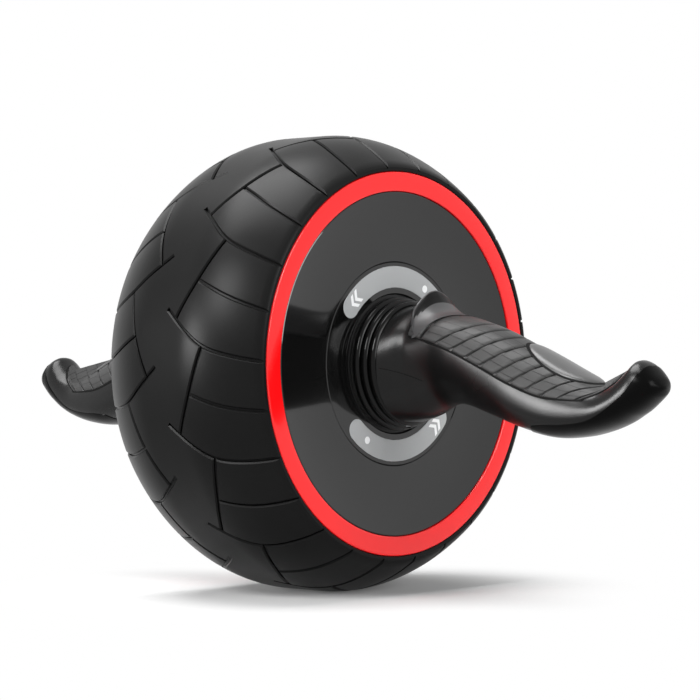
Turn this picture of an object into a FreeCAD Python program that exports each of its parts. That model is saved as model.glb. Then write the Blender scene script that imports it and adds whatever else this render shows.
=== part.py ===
import FreeCAD
import Part
import math
import os

# Ab wheel roller: a wide sprung wheel that turns on a fixed hub between two shaped handles.
# Frame: origin at the wheel's centre, +X the way it rolls out, +Y along the axle to the left, +Z up.
# All lengths are millimetres.

# Counts, angles and exponents
full_turn = 360.0
half_turn = 180.0
crown_exponent = 1.844
crown_points = 7
groove_count = 26
groove_sections = 6
first_groove = 111.83
section_points = 24
section_exponent = 2.25
guard_exponent = 3.2
stud_count = 6
boss_count = 6
drum_screw_count = 4
collar_ring_count = 3
spring_half_turns = 14
core_stations = 9
inlay_span = 92.0
inlay_turn = 4.0
overrun = 2.0

# Fits
running_clearance = 0.05
fit_gap = 0.1
seat_gap = 0.5
axial_play = 0.2

# Tyre
tyre_radius = 93.5
crown_drop_share = 0.14545
wheel_half_width = 42.7
crown_flat = 10.0
tyre_wall = 5.0
groove_width = 1.3
groove_depth = 1.1

# Rim halves
rim_wall = 3.0
web_thickness = 4.3
boss_inset = 7.4
boss_radius = 4.5
rim_screw_radius = 2.0
rim_screw_head_radius = 3.5
rim_screw_head_height = 2.6
rim_screw_length = 26.0

# Trim ring and side disc
trim_ring_width = 7.9
trim_ring_round = 0.7
disc_wall = 1.0
disc_recess = 0.5
dish_bow_share = 0.25
disc_bore_gap = 1.0
dial_recess = 2.9
dial_line_width = 0.6
dial_line_depth = 0.4
stud_radius = 1.8
stud_length = 3.0
disc_stud_inset = 17.4

# Marker inlays on the side discs
inlay_margin = 2.6
inlay_width = 8.9
inlay_to_dial = 1.3
inlay_pocket_share = 0.8
inlay_proud = 0.15

# Hub, bushes and collars
hub_share = 0.2353
hub_wall = 5.0
hub_setback = 3.0
bush_wall = 4.5
bush_flange_width = 3.5
bush_flange_thickness = 2.0
washer_thickness = 1.0
collar_length = 9.8
collar_wall = 5.0
collar_step = 1.0
collar_groove_depth = 0.9
collar_groove_width = 0.7

# Spring and its drum
drum_wall = 2.0
drum_side_gap = 3.5
drum_boss_gap = 0.9
drum_hub_gap = 2.0
drum_flange_thickness = 3.0
drum_screw_radius = 1.5
drum_screw_head_radius = 2.2
drum_screw_head_height = 1.8
drum_screw_hold = 3.0
spring_width = 36.0
spring_thickness = 0.9
spring_clearance = 0.4
spring_hook_depth = 3.5

# Handles
handle_length = 122.5
handle_height = 30.0
grip_half_width = 16.5
grip_wall = 2.4
spigot_length = 28.0
core_tube_radius = 8.0
core_tube_wall = 2.0
core_tube_reach = 40.0
handle_screw_radius = 2.0
handle_screw_length = 12.0
badge_length = 34.0
badge_width = 18.0
badge_height = 1.0
badge_reach = 77.0

# Handle stations: reach along the handle, crest, widest level, underside and half-width, as shares of
# handle_length, handle_height (three columns) and grip_half_width.
station_shares = (
    (0.000, 0.777, 0.000, -0.790, 1.412),
    (0.080, 0.755, 0.170, -0.700, 1.260),
    (0.165, 0.680, 0.310, -0.545, 1.060),
    (0.245, 0.590, 0.210, -0.535, 1.000),
    (0.365, 0.455, 0.010, -0.670, 1.000),
    (0.490, 0.245, -0.215, -0.825, 1.000),
    (0.610, 0.030, -0.385, -0.920, 0.950),
    (0.710, -0.155, -0.430, -0.900, 0.865),
    (0.790, -0.270, -0.430, -0.825, 0.780),
    (0.850, -0.190, -0.385, -0.735, 0.715),
    (0.893, -0.030, -0.320, -0.645, 0.660),
    (0.918, 0.060, -0.270, -0.590, 0.625),
    (0.950, 0.010, -0.240, -0.500, 0.550),
    (0.980, -0.125, -0.250, -0.400, 0.420),
    (1.000, -0.240, -0.280, -0.320, 0.200),
)
# Guard at the grip's inner end: same columns.
guard_shares = (
    (0.086, 0.985, 0.370, -0.150, 1.060),
    (0.115, 0.930, 0.345, -0.150, 1.060),
    (0.185, 0.640, 0.290, -0.150, 1.000),
)
# Line along the handle's side where the grip ends, and the one where the underside shell begins:
# reach and height, as shares of handle_length and handle_height.
grip_line_shares = (
    (0.086, 0.390),
    (0.220, 0.240),
    (0.331, 0.050),
    (0.424, -0.100),
    (0.540, -0.320),
    (0.625, -0.400),
    (0.725, -0.440),
    (0.800, -0.390),
    (0.850, -0.250),
    (0.878, -0.060),
)
underside_line_shares = (
    (0.480, -1.000),
    (0.540, -0.800),
    (0.610, -0.745),
    (0.690, -0.735),
    (0.775, -0.685),
    (0.835, -0.565),
    (0.872, -0.440),
    (0.900, -0.260),
    (0.925, -0.020),
    (0.955, 0.220),
    (1.020, 0.600),
)

# Tread grooves: distance from the tyre's middle and turn round it, as shares of wheel_half_width and of
# the spacing between grooves. Long ones alternate with short ones, and each long one has a branch.
long_groove_shares = (
    (0.312, -0.505),
    (0.496, -0.26),
    (0.773, -0.09),
    (1.042, 0.01),
)
short_groove_shares = (
    (0.351, -0.43),
    (0.691, -0.17),
    (1.042, 0.01),
)
branch_groove_shares = (
    (0.318, 0.705),
    (0.400, 0.310),
    (0.496, -0.26),
)

# Derived places
crown_drop = tyre_radius * crown_drop_share
hub_radius = tyre_radius * hub_share
disc_edge_face = wheel_half_width - disc_recess
dial_face = wheel_half_width - dial_recess
web_outer = dial_face - disc_wall
web_inner = web_outer - web_thickness
lip_depth = web_outer + seat_gap
lip_share = (lip_depth - crown_flat) / (wheel_half_width - crown_flat)
trim_ring_outer = tyre_radius - crown_drop * lip_share ** crown_exponent - tyre_wall
trim_ring_inner = trim_ring_outer - trim_ring_width
stud_circle = trim_ring_outer - trim_ring_width / 2
boss_circle_radius = trim_ring_outer - boss_inset
disc_radius = trim_ring_inner - fit_gap
disc_stud_circle = disc_radius - disc_stud_inset
washer_start = web_outer + axial_play
collar_start = washer_start + washer_thickness + axial_play
collar_end = collar_start + collar_length
hub_half_length = collar_end - hub_setback
hub_bore_radius = hub_radius - hub_wall
bush_outer_radius = hub_radius + bush_wall
bush_flange_radius = bush_outer_radius + bush_flange_width
collar_radius = hub_radius + collar_wall
disc_bore_radius = collar_radius + disc_bore_gap
inlay_inner_radius = disc_bore_radius + inlay_margin
inlay_outer_radius = inlay_inner_radius + inlay_width
inlay_pocket = disc_wall * inlay_pocket_share
dial_radius = inlay_outer_radius + inlay_to_dial
spigot_start = collar_end - spigot_length
handle_screw_place = (collar_start + collar_end) / 2
drum_flange_width = 2 * (drum_screw_head_radius + fit_gap)
drum_radius = boss_circle_radius - boss_radius - drum_boss_gap - drum_flange_width - drum_wall
drum_bore_radius = hub_radius + drum_hub_gap
drum_screw_length = drum_flange_thickness + drum_screw_hold
drum_start = -web_inner
drum_flange_top = drum_start + drum_flange_thickness
drum_end = spring_width / 2 + drum_side_gap
drum_floor = -drum_end
spring_start_radius = hub_radius + spring_clearance + spring_thickness / 2
spring_end_radius = drum_radius - spring_clearance - spring_thickness / 2
spring_half_pitch = (spring_end_radius - spring_start_radius) / spring_half_turns

origin = FreeCAD.Vector(0, 0, 0)
along_y = FreeCAD.Vector(0, 1, 0)
along_x = FreeCAD.Vector(1, 0, 0)
along_z = FreeCAD.Vector(0, 0, 1)


def rod(radius, start, end, x=0.0, z=0.0):
    """A cylinder along Y from start to end."""
    return Part.makeCylinder(radius, end - start, FreeCAD.Vector(x, start, z), along_y)


def tube(inner, outer, start, end):
    """A plain ring about the axle."""
    return rod(outer, start, end).cut(rod(inner, start - overrun, end + overrun))


def box_between(low, high):
    """A box between two opposite corners."""
    size = high - low
    return Part.makeBox(size.x, size.y, size.z, low)


def round_places(count, radius, first=0.0):
    """Places round the axle, as (x, z)."""
    angles = [math.radians(first + full_turn * n / count) for n in range(count)]
    return [(radius * math.cos(a), radius * math.sin(a)) for a in angles]


def turned(edges):
    """The solid that a closed outline of edges in the XY plane sweeps about the axle."""
    wire = Part.Wire(Part.__sortEdges__(edges))
    return Part.Face(wire).revolve(origin, along_y, full_turn)


def line(start, end):
    """A straight edge between two (radius, y) points."""
    return Part.makeLine(FreeCAD.Vector(start[0], start[1], 0), FreeCAD.Vector(end[0], end[1], 0))


def chain(points):
    """Straight edges through (radius, y) points."""
    return [line(a, b) for a, b in zip(points, points[1:])]


def turned_outline(points):
    """The solid that a closed outline of (radius, y) points sweeps about the axle."""
    return turned(chain(list(points) + [points[0]]))


def crown_radius(y):
    """The tyre's radius at a place across its width."""
    share = max(abs(y) - crown_flat, 0) / (wheel_half_width - crown_flat)
    return tyre_radius - crown_drop * share ** crown_exponent


def crown_edges(start, end, inset):
    """The crown's line across the tyre, set in by some depth: level in the middle, curved beside it."""
    stops = [start] + [y for y in (-crown_flat, crown_flat) if start < y < end] + [end]
    edges = []
    for low, high in zip(stops, stops[1:]):
        places = [low + (high - low) * n / (crown_points - 1) for n in range(crown_points)]
        if max(abs(low), abs(high)) <= crown_flat:
            places = [low, high]
        curve = Part.BSplineCurve()
        curve.interpolate([FreeCAD.Vector(crown_radius(y) - inset, y, 0) for y in places])
        edges.append(curve.toShape())
    return edges


def groove_section(across, turn, ahead):
    """A cutter's outline square to its groove, from its place on the tread and the next place along it."""
    places = []
    for y, share in ((across, turn), ahead):
        angle = math.radians(first_groove - full_turn / groove_count * share)
        radius = crown_radius(y)
        places.append(FreeCAD.Vector(radius * math.cos(angle), y, radius * math.sin(angle)))
    place = places[0]
    fall = (crown_radius(across + fit_gap) - crown_radius(across)) / fit_gap
    outward = (FreeCAD.Vector(place.x, 0, place.z).normalize() - along_y * fall).normalize()
    sideways = (places[1] - place).cross(outward).normalize() * (groove_width / 2)
    top = place + outward * groove_depth
    low = place - outward * groove_depth
    return Part.makePolygon([top - sideways, low - sideways, low + sideways, top + sideways, top - sideways])


def grooves(line_shares, first, side):
    """The cutters of one kind of groove on one half of the tread."""
    path = Part.BSplineCurve()
    path.interpolate([FreeCAD.Vector(away * wheel_half_width, turn, 0) for away, turn in line_shares])
    sections = []
    for spot in path.discretize(groove_sections):
        ahead = spot + path.tangent(path.parameter(spot))[0] * fit_gap
        sections.append(groove_section(side * spot.x, first + spot.y, (side * ahead.x, first + ahead.y)))
    cutter = Part.makeLoft(sections, True, False)
    cutters = []
    for n in range(groove_count // 2):
        copy = cutter.copy()
        copy.rotate(origin, along_y, 2 * n * full_turn / groove_count)
        cutters.append(copy)
    return cutters


def tyre():
    """The rubber tyre: a crowned, grooved shell with a lip at each edge that closes over the rim."""
    lip = trim_ring_outer + fit_gap
    edges = crown_edges(-wheel_half_width, wheel_half_width, 0)
    edges += crown_edges(-lip_depth, lip_depth, tyre_wall)
    for side in (-1, 1):
        edges += chain((
            (tyre_radius - crown_drop, side * wheel_half_width),
            (lip, side * wheel_half_width),
            (lip, side * lip_depth),
            (trim_ring_outer, side * lip_depth),
        ))
    cutters = []
    for side, long_first in ((1, 0), (-1, 1)):
        cutters += grooves(long_groove_shares, long_first, side)
        cutters += grooves(branch_groove_shares, long_first, side)
        cutters += grooves(short_groove_shares, 1 - long_first, side)
    return turned(edges).cut(cutters)


def studs(circle, first):
    """Snap studs on the back of a left-hand piece that sits on the web."""
    return [
        rod(stud_radius, web_outer - stud_length, web_outer + fit_gap, x, z)
        for x, z in round_places(stud_count, circle, first)
    ]


def stud_holes(circle, first):
    """The web's holes for the snap studs."""
    return [
        rod(stud_radius + fit_gap, web_outer - stud_length - fit_gap, web_outer + overrun, x, z)
        for x, z in round_places(stud_count, circle, first)
    ]


def rim_half():
    """The left half of the rim: half a barrel under the tyre, closed by a web that holds the bush."""
    depth = tyre_wall + fit_gap
    split = fit_gap / 2
    bore = bush_outer_radius + running_clearance
    edges = crown_edges(split, web_outer, depth) + crown_edges(split, web_inner, depth + rim_wall)
    edges += chain(((tyre_radius - depth, split), (tyre_radius - depth - rim_wall, split)))
    edges += chain((
        (crown_radius(web_outer) - depth, web_outer),
        (bore, web_outer),
        (bore, web_inner),
        (crown_radius(web_inner) - depth - rim_wall, web_inner),
    ))
    half = turned(edges)
    places = round_places(boss_count, boss_circle_radius, half_turn / boss_count)
    half = half.fuse([rod(boss_radius, split, web_inner + fit_gap, x, z) for x, z in places])
    return half.cut(stud_holes(stud_circle, 0) + stud_holes(disc_stud_circle, 0)).removeSplitter()


def left_rim():
    """The half that takes the threads of the rim screws."""
    places = round_places(boss_count, boss_circle_radius, half_turn / boss_count)
    return rim_half().cut([
        rod(rim_screw_radius + fit_gap, -overrun, rim_screw_length / 2 + overrun, x, z) for x, z in places
    ])


def right_rim():
    """The half that takes the heads of the rim screws and the screws of the drum."""
    places = round_places(boss_count, boss_circle_radius, half_turn / boss_count)
    wells = [
        rod(rim_screw_head_radius + fit_gap, -web_outer - overrun, -rim_screw_length / 2, x, z)
        for x, z in places
    ]
    shanks = [rod(rim_screw_radius + fit_gap, -rim_screw_length, overrun, x, z) for x, z in places]
    pilots = [
        rod(drum_screw_radius + fit_gap, drum_flange_top - drum_screw_length - fit_gap, drum_flange_top, x, z)
        for x, z in drum_screw_places()
    ]
    return mirrored(rim_half()).cut(wells + shanks + pilots)


def rim_screws():
    """Long screws that pull the two rim halves together."""
    screws = []
    for x, z in round_places(boss_count, boss_circle_radius, half_turn / boss_count):
        seat = -rim_screw_length / 2
        shank = rod(rim_screw_radius, seat - fit_gap, -seat, x, z)
        head = rod(rim_screw_head_radius, seat - rim_screw_head_height, seat, x, z)
        screws.append(head.fuse(shank).removeSplitter())
    return Part.makeCompound(screws)


def trim_ring():
    """The coloured ring let into the side of the wheel."""
    ring = tube(trim_ring_inner, trim_ring_outer, web_outer, wheel_half_width)
    outer_rims = [
        edge for edge in ring.Edges
        if abs(edge.BoundBox.YMin - wheel_half_width) < fit_gap and edge.BoundBox.YLength < fit_gap
    ]
    return ring.makeFillet(trim_ring_round, outer_rims).fuse(studs(stud_circle, 0)).removeSplitter()


def inlay_outline(grow):
    """The face of one marker window, an arc with rounded ends, drawn level with the axle's middle."""
    inner = inlay_inner_radius - grow
    outer = inlay_outer_radius + grow
    middle = (inner + outer) / 2
    half_span = math.radians(inlay_span / 2)
    end_reach = (outer - inner) / 2 / middle

    def spot(radius, angle):
        return FreeCAD.Vector(radius * math.sin(angle), 0, radius * math.cos(angle))

    edges = [
        Part.Arc(spot(outer, -half_span), spot(outer, 0), spot(outer, half_span)).toShape(),
        Part.Arc(
            spot(outer, half_span), spot(middle, half_span + end_reach), spot(inner, half_span)
        ).toShape(),
        Part.Arc(spot(inner, half_span), spot(inner, 0), spot(inner, -half_span)).toShape(),
        Part.Arc(
            spot(inner, -half_span), spot(middle, -half_span - end_reach), spot(outer, -half_span)
        ).toShape(),
    ]
    return Part.Face(Part.Wire(edges))


def inlay_pair(grow, start, end):
    """The two opposite marker windows between two levels along the axle."""
    upper = inlay_outline(grow)
    upper.translate(along_y * start)
    upper = upper.extrude(along_y * (end - start))
    upper.rotate(origin, along_y, inlay_turn)
    lower = upper.copy()
    lower.rotate(origin, along_y, half_turn)
    return [upper, lower]


def side_disc():
    """The dished cover of the wheel's side, with a scribed dial line and pockets for the inlays."""
    line_outer = dial_radius + dial_line_width
    bow = dial_face + (disc_edge_face - dial_face) * dish_bow_share
    dish = Part.Arc(
        FreeCAD.Vector(disc_radius, disc_edge_face, 0),
        FreeCAD.Vector((disc_radius + line_outer) / 2, bow, 0),
        FreeCAD.Vector(line_outer, dial_face, 0),
    )
    disc = turned([dish.toShape()] + chain((
        (line_outer, dial_face),
        (line_outer, dial_face - dial_line_depth),
        (dial_radius, dial_face - dial_line_depth),
        (dial_radius, dial_face),
        (disc_bore_radius, dial_face),
        (disc_bore_radius, web_outer),
        (disc_radius, web_outer),
        (disc_radius, disc_edge_face),
    )))
    pockets = inlay_pair(fit_gap, dial_face - inlay_pocket, dial_face + overrun)
    return disc.fuse(studs(disc_stud_circle, 0)).cut(pockets).removeSplitter()


def marker_inlays():
    """The two light window plates of one side."""
    return Part.makeCompound(
        inlay_pair(0, dial_face - inlay_pocket, dial_face + inlay_proud)
    )


def bush():
    """The flanged plain bearing in the rim's web."""
    bore = hub_radius + running_clearance
    return turned_outline((
        (bore, web_inner - bush_flange_thickness),
        (bush_flange_radius, web_inner - bush_flange_thickness),
        (bush_flange_radius, web_inner),
        (bush_outer_radius, web_inner),
        (bush_outer_radius, web_outer),
        (bore, web_outer),
    ))


def thrust_washer():
    """The washer between the bush and the collar."""
    return tube(hub_radius + fit_gap, bush_outer_radius, washer_start, washer_start + washer_thickness)


def collar():
    """The stack of rings round the handle's root, one turned piece with grooves between its rings."""
    bore = hub_radius + running_clearance
    ring_length = (collar_end - collar_start) / collar_ring_count
    stop = hub_half_length + fit_gap
    points = [(bore, collar_start)]
    for n in range(collar_ring_count):
        radius = collar_radius - n * collar_step
        start = collar_start + n * ring_length
        shoulder = (ring_length - collar_groove_width) / collar_ring_count
        points += [
            (radius - collar_groove_depth, start),
            (radius, start + shoulder),
            (radius, start + 2 * shoulder),
            (radius - collar_groove_depth, start + 3 * shoulder),
        ]
    points += [
        (points[-1][0], collar_end),
        (hub_bore_radius + fit_gap, collar_end),
        (hub_bore_radius + fit_gap, stop),
        (bore, stop),
    ]
    return turned_outline(points).cut(handle_screw_hole())


def handle_screw_hole():
    """The radial hole for the screw that holds the left handle in the hub."""
    return Part.makeCylinder(
        handle_screw_radius + fit_gap, collar_radius + overrun,
        FreeCAD.Vector(0, handle_screw_place, 0), -along_z,
    )


def handle_screws():
    """One grub screw on the underside of each collar."""
    top = collar_radius - collar_step - collar_groove_depth
    left = Part.makeCylinder(
        handle_screw_radius, handle_screw_length,
        FreeCAD.Vector(0, handle_screw_place, -top), along_z,
    )
    return Part.makeCompound([left, mirrored(left)])


def hub_core():
    """The fixed hollow axle that carries the wheel, the spring's inner hook and both handles."""
    core = tube(hub_bore_radius, hub_radius, -hub_half_length, hub_half_length)
    reach = spring_width / 2 + spring_clearance
    slot = box_between(
        FreeCAD.Vector(hub_radius - spring_hook_depth - fit_gap, -reach, -spring_thickness - fit_gap),
        FreeCAD.Vector(hub_radius + overrun, reach, fit_gap),
    )
    return core.cut([slot, handle_screw_hole(), mirrored(handle_screw_hole())])


def spiral_edges(offset):
    """Half-turn arcs of the spiral, on one face of the strip."""
    edges = []
    for n in range(spring_half_turns):
        sign = 1 if n % 2 == 0 else -1
        start = spring_start_radius + n * spring_half_pitch
        end = start + spring_half_pitch
        centre = sign * (start - end) / 2
        radius = (start + end) / 2 + offset
        edges.append(Part.Arc(
            FreeCAD.Vector(sign * (start + offset), 0, 0),
            FreeCAD.Vector(centre, 0, sign * radius),
            FreeCAD.Vector(-sign * (end + offset), 0, 0),
        ).toShape())
    return edges


def power_spring():
    """The flat spiral spring, hooked into the hub's slot, with its outer turn against the drum."""
    half = spring_thickness / 2
    outer = spiral_edges(half)
    inner = spiral_edges(-half)
    sign = 1 if spring_half_turns % 2 == 0 else -1
    caps = [
        Part.makeLine(
            FreeCAD.Vector(r - half, 0, 0) * s, FreeCAD.Vector(r + half, 0, 0) * s
        )
        for r, s in ((spring_start_radius, 1), (spring_end_radius, sign))
    ]
    face = Part.Face(Part.Wire(Part.__sortEdges__(outer + inner + caps)))
    face.translate(along_y * (-spring_width / 2))
    strip = face.extrude(along_y * spring_width)
    hook = box_between(
        FreeCAD.Vector(hub_radius - spring_hook_depth, -spring_width / 2, -spring_thickness),
        FreeCAD.Vector(spring_start_radius + half, spring_width / 2, 0),
    )
    return strip.fuse(hook).removeSplitter()


def drum_screw_places():
    """Places of the screws in the drum's flange."""
    return round_places(drum_screw_count, drum_radius + drum_wall + drum_flange_width / 2)


def spring_drum():
    """The cup that holds the spring in the wheel's middle, bolted to the right rim half by its flange."""
    wall = drum_radius + drum_wall
    flange = wall + drum_flange_width
    cup = turned_outline((
        (drum_bore_radius, drum_floor - drum_flange_thickness),
        (drum_radius, drum_floor - drum_flange_thickness),
        (drum_radius, drum_start),
        (flange, drum_start),
        (flange, drum_flange_top),
        (wall, drum_flange_top),
        (wall, drum_end),
        (drum_radius, drum_end),
        (drum_radius, drum_floor),
        (drum_bore_radius, drum_floor),
    ))
    return cup.cut([
        rod(drum_screw_radius + fit_gap, drum_start - overrun, drum_flange_top + overrun, x, z)
        for x, z in drum_screw_places()
    ])


def drum_cover():
    """The lid of the spring drum, with a rim that fits into it."""
    return turned_outline((
        (drum_bore_radius, drum_end),
        (drum_bore_radius, drum_end + drum_wall),
        (drum_radius + drum_wall, drum_end + drum_wall),
        (drum_radius + drum_wall, drum_end),
        (drum_radius - fit_gap, drum_end),
        (drum_radius - fit_gap, drum_end - drum_wall),
        (drum_radius - fit_gap - drum_wall, drum_end - drum_wall),
        (drum_radius - fit_gap - drum_wall, drum_end),
    ))


def drum_screws():
    """Small screws through the drum's flange into the web."""
    screws = []
    for x, z in drum_screw_places():
        seat = drum_flange_top
        head = rod(drum_screw_head_radius, seat, seat + drum_screw_head_height, x, z)
        shank = rod(drum_screw_radius, seat - drum_screw_length, seat + fit_gap, x, z)
        screws.append(head.fuse(shank).removeSplitter())
    return Part.makeCompound(screws)


def rounded(value, exponent):
    """A cosine or sine drawn towards a fuller corner."""
    return math.copysign(abs(value) ** (2.0 / exponent), value)


def handle_section(shares, inset, exponent):
    """One closed curve round the handle, square to the axle, set in by some depth."""
    reach, crest, level, floor, width = shares
    y = collar_end + reach * handle_length
    middle = level * handle_height
    up = crest * handle_height - middle - inset
    down = middle - floor * handle_height - inset
    half_width = width * grip_half_width - inset
    points = []
    for n in range(section_points):
        angle = math.radians(full_turn * n / section_points)
        rise = up if math.sin(angle) > 0 else down
        points.append(FreeCAD.Vector(
            half_width * rounded(math.cos(angle), exponent),
            y,
            middle + rise * rounded(math.sin(angle), exponent),
        ))
    places = [n / section_points for n in range(section_points + 1)]
    curve = Part.BSplineCurve()
    curve.interpolate(Points=points, Parameters=places, PeriodicFlag=True)
    return Part.Wire(curve.toShape())


def handle_form(stations, inset, exponent):
    """The smooth solid through a row of handle sections."""
    return Part.makeLoft([handle_section(row, inset, exponent) for row in stations], True, False)


def side_prism(line_shares, rise, height):
    """A block across the whole handle, above or below a line drawn on its side."""
    points = [
        FreeCAD.Vector(-handle_height, collar_end + reach * handle_length, level * handle_height + rise)
        for reach, level in line_shares
    ]
    curve = Part.BSplineCurve()
    curve.interpolate(points)
    edge = curve.toShape()
    ends = [points[0] + along_z * height, points[-1] + along_z * height]
    far = Part.makePolygon([points[-1], ends[1], ends[0], points[0]]).Edges
    face = Part.Face(Part.Wire([edge] + far))
    return face.extrude(along_x * 2 * handle_height)


def grip_core(inset):
    """The handle's middle stretch under the rubber, set in by some depth."""
    return handle_form(station_shares[1:core_stations], inset, section_exponent)


def handle_body():
    """The moulded handle: its side walls, the core under the grip and the spigot in the hub."""
    outer = handle_form(station_shares, 0, section_exponent)
    pocket = side_prism(grip_line_shares, 0, 2 * handle_height)
    below = side_prism(underside_line_shares, 0, -2 * handle_height)
    spigot = rod(hub_bore_radius - running_clearance, spigot_start, collar_end + grip_wall)
    bore = rod(
        core_tube_radius + fit_gap, spigot_start - overrun, collar_end + core_tube_reach + fit_gap
    )
    body = outer.cut(pocket).fuse(grip_core(grip_wall)).fuse(spigot)
    return body.cut(below).cut(bore).cut(handle_screw_hole())


def handle_underside():
    """The shell that closes the handle's belly and the back of its tip."""
    outer = handle_form(station_shares, 0, section_exponent)
    return outer.common(side_prism(underside_line_shares, -fit_gap, -2 * handle_height))


def grip():
    """The rubber on top of the handle, with a raised guard for the thumb at its inner end."""
    outer = handle_form(station_shares, 0, section_exponent)
    guard = handle_form(guard_shares, 0, guard_exponent)
    above = side_prism(grip_line_shares, fit_gap, 2 * handle_height)
    return outer.fuse(guard).common(above).cut(grip_core(grip_wall - fit_gap))


def badge():
    """The raised oval pad on the grip's outer end."""
    outline = Part.Ellipse(
        FreeCAD.Vector(0, badge_length / 2, 0), FreeCAD.Vector(badge_width / 2, 0, 0), origin
    )
    column = Part.Face(Part.Wire(outline.toShape())).extrude(along_z * 2 * handle_height)
    column.translate(FreeCAD.Vector(0, collar_end + badge_reach, -handle_height / 2))
    skin = handle_form(station_shares, -badge_height, section_exponent)
    seat = handle_form(station_shares, -fit_gap / 2, section_exponent)
    return column.common(skin).cut(seat)


def core_tube():
    """The steel tube that stiffens the handle's root."""
    return tube(
        core_tube_radius - core_tube_wall, core_tube_radius, spigot_start, collar_end + core_tube_reach
    )


def mirrored(shape):
    """The same piece on the other side of the wheel."""
    return shape.mirror(origin, along_y)


def write(name, shape):
    """Writes one piece, and prints what it is."""
    shape.exportStep("parts/" + name + ".step")
    print(name, "solids", len(shape.Solids), "valid", shape.isValid(), "volume", round(shape.Volume, 1))


os.makedirs("parts", exist_ok=True)

for name, make in (
    ("tyre", tyre),
    ("left_rim", left_rim),
    ("right_rim", right_rim),
    ("rim_screws", rim_screws),
    ("spring_drum", spring_drum),
    ("drum_cover", drum_cover),
    ("drum_screws", drum_screws),
    ("power_spring", power_spring),
    ("hub_core", hub_core),
    ("handle_screws", handle_screws),
):
    write(name, make())

for name, make in (
    ("trim_ring", trim_ring),
    ("side_disc", side_disc),
    ("marker_inlays", marker_inlays),
    ("bush", bush),
    ("thrust_washer", thrust_washer),
    ("collar", collar),
    ("handle_body", handle_body),
    ("handle_underside", handle_underside),
    ("grip", grip),
    ("badge", badge),
    ("core_tube", core_tube),
):
    piece = make()
    write("left_" + name, piece)
    write("right_" + name, mirrored(piece))

print("least gap between the spring's turns", round(2 * spring_half_pitch - spring_thickness, 2))
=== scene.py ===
"""Looks of an ab wheel roller: visible meshes, finishes, studio and camera, around its fixed frame.

Pieces are drawn in millimetres. Finishes, studio and camera are in metres.
"""

import logging
import math
from collections.abc import Callable, Sequence
from dataclasses import dataclass
from enum import Enum

import bmesh
import bpy
from mathutils import Matrix, Vector


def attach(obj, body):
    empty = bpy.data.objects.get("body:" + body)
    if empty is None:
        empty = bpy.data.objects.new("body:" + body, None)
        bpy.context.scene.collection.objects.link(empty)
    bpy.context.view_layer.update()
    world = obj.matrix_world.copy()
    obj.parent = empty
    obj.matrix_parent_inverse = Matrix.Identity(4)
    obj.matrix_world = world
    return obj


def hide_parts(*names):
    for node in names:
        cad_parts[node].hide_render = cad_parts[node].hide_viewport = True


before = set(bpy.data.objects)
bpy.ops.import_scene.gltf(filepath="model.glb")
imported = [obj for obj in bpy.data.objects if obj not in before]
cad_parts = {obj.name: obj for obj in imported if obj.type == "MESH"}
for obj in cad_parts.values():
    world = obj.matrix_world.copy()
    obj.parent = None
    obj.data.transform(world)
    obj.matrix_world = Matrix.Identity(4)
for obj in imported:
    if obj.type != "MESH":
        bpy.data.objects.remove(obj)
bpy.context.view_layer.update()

log = logging.getLogger("ab_wheel")

MM = 0.001
FULL_TURN = 2.0 * math.pi
QUARTER_TURN = 0.5 * math.pi
AXLE = Vector((0.0, 1.0, 0.0))
CENTRE = Vector((0.0, 0.0, 0.0))
CREASE = 32.0
WELD = 1e-4
WHITE = (1.0, 1.0, 1.0, 1.0)

Colour = tuple[float, float, float]
Pair = tuple[float, float]
Triple = tuple[float, float, float]
Mesh = bmesh.types.BMesh
Thing = bpy.types.Object
Material = bpy.types.Material
Socket = bpy.types.NodeSocket
Place = Callable[[int, int], Vector]


class Body(Enum):
    """The two bodies that the visible pieces ride on."""

    WHEEL = "wheel"
    HANDLES = "handle_frame"


class Slot(Enum):
    """The record's material slots, one listed with each visible piece."""

    TYRE = "tyre_rubber"
    RED = "red_gloss"
    BLACK = "black_gloss"
    WINDOW = "grey_window"
    HANDLE = "handle_plastic"
    GRIP = "grip_rubber"


class Side(Enum):
    """The two ends of the axle, with their sign along it."""

    LEFT = 1
    RIGHT = -1

    @property
    def word(self) -> str:
        """The side's name in the node names."""
        return self.name.lower()


class Sketch:
    """A small helper that adds and joins shader nodes."""

    def __init__(self, tree: bpy.types.NodeTree) -> None:
        """Empties the tree."""
        self.tree = tree
        tree.nodes.clear()

    def add(self, kind: str, inputs: dict | None = None, **settings: object) -> bpy.types.Node:
        """Adds one node.

        Args:
            kind: The node's type.
            inputs: Values or output sockets by input name or index.
            settings: Properties of the node.

        Returns:
            The new node.
        """
        node = self.tree.nodes.new(kind)
        for key, value in settings.items():
            setattr(node, key, value)
        for key, value in (inputs or {}).items():
            if isinstance(value, Socket):
                self.tree.links.new(value, node.inputs[key])
            else:
                node.inputs[key].default_value = value
        return node

    def joined(self, operation: str, first: Socket, second: Socket | float) -> Socket:
        """Two values, joined by one of the Math node's operations."""
        return self.add("ShaderNodeMath", {0: first, 1: second}, operation=operation).outputs[0]


def grey(level: float) -> Colour:
    """A neutral colour."""
    return (level, level, level)


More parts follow.
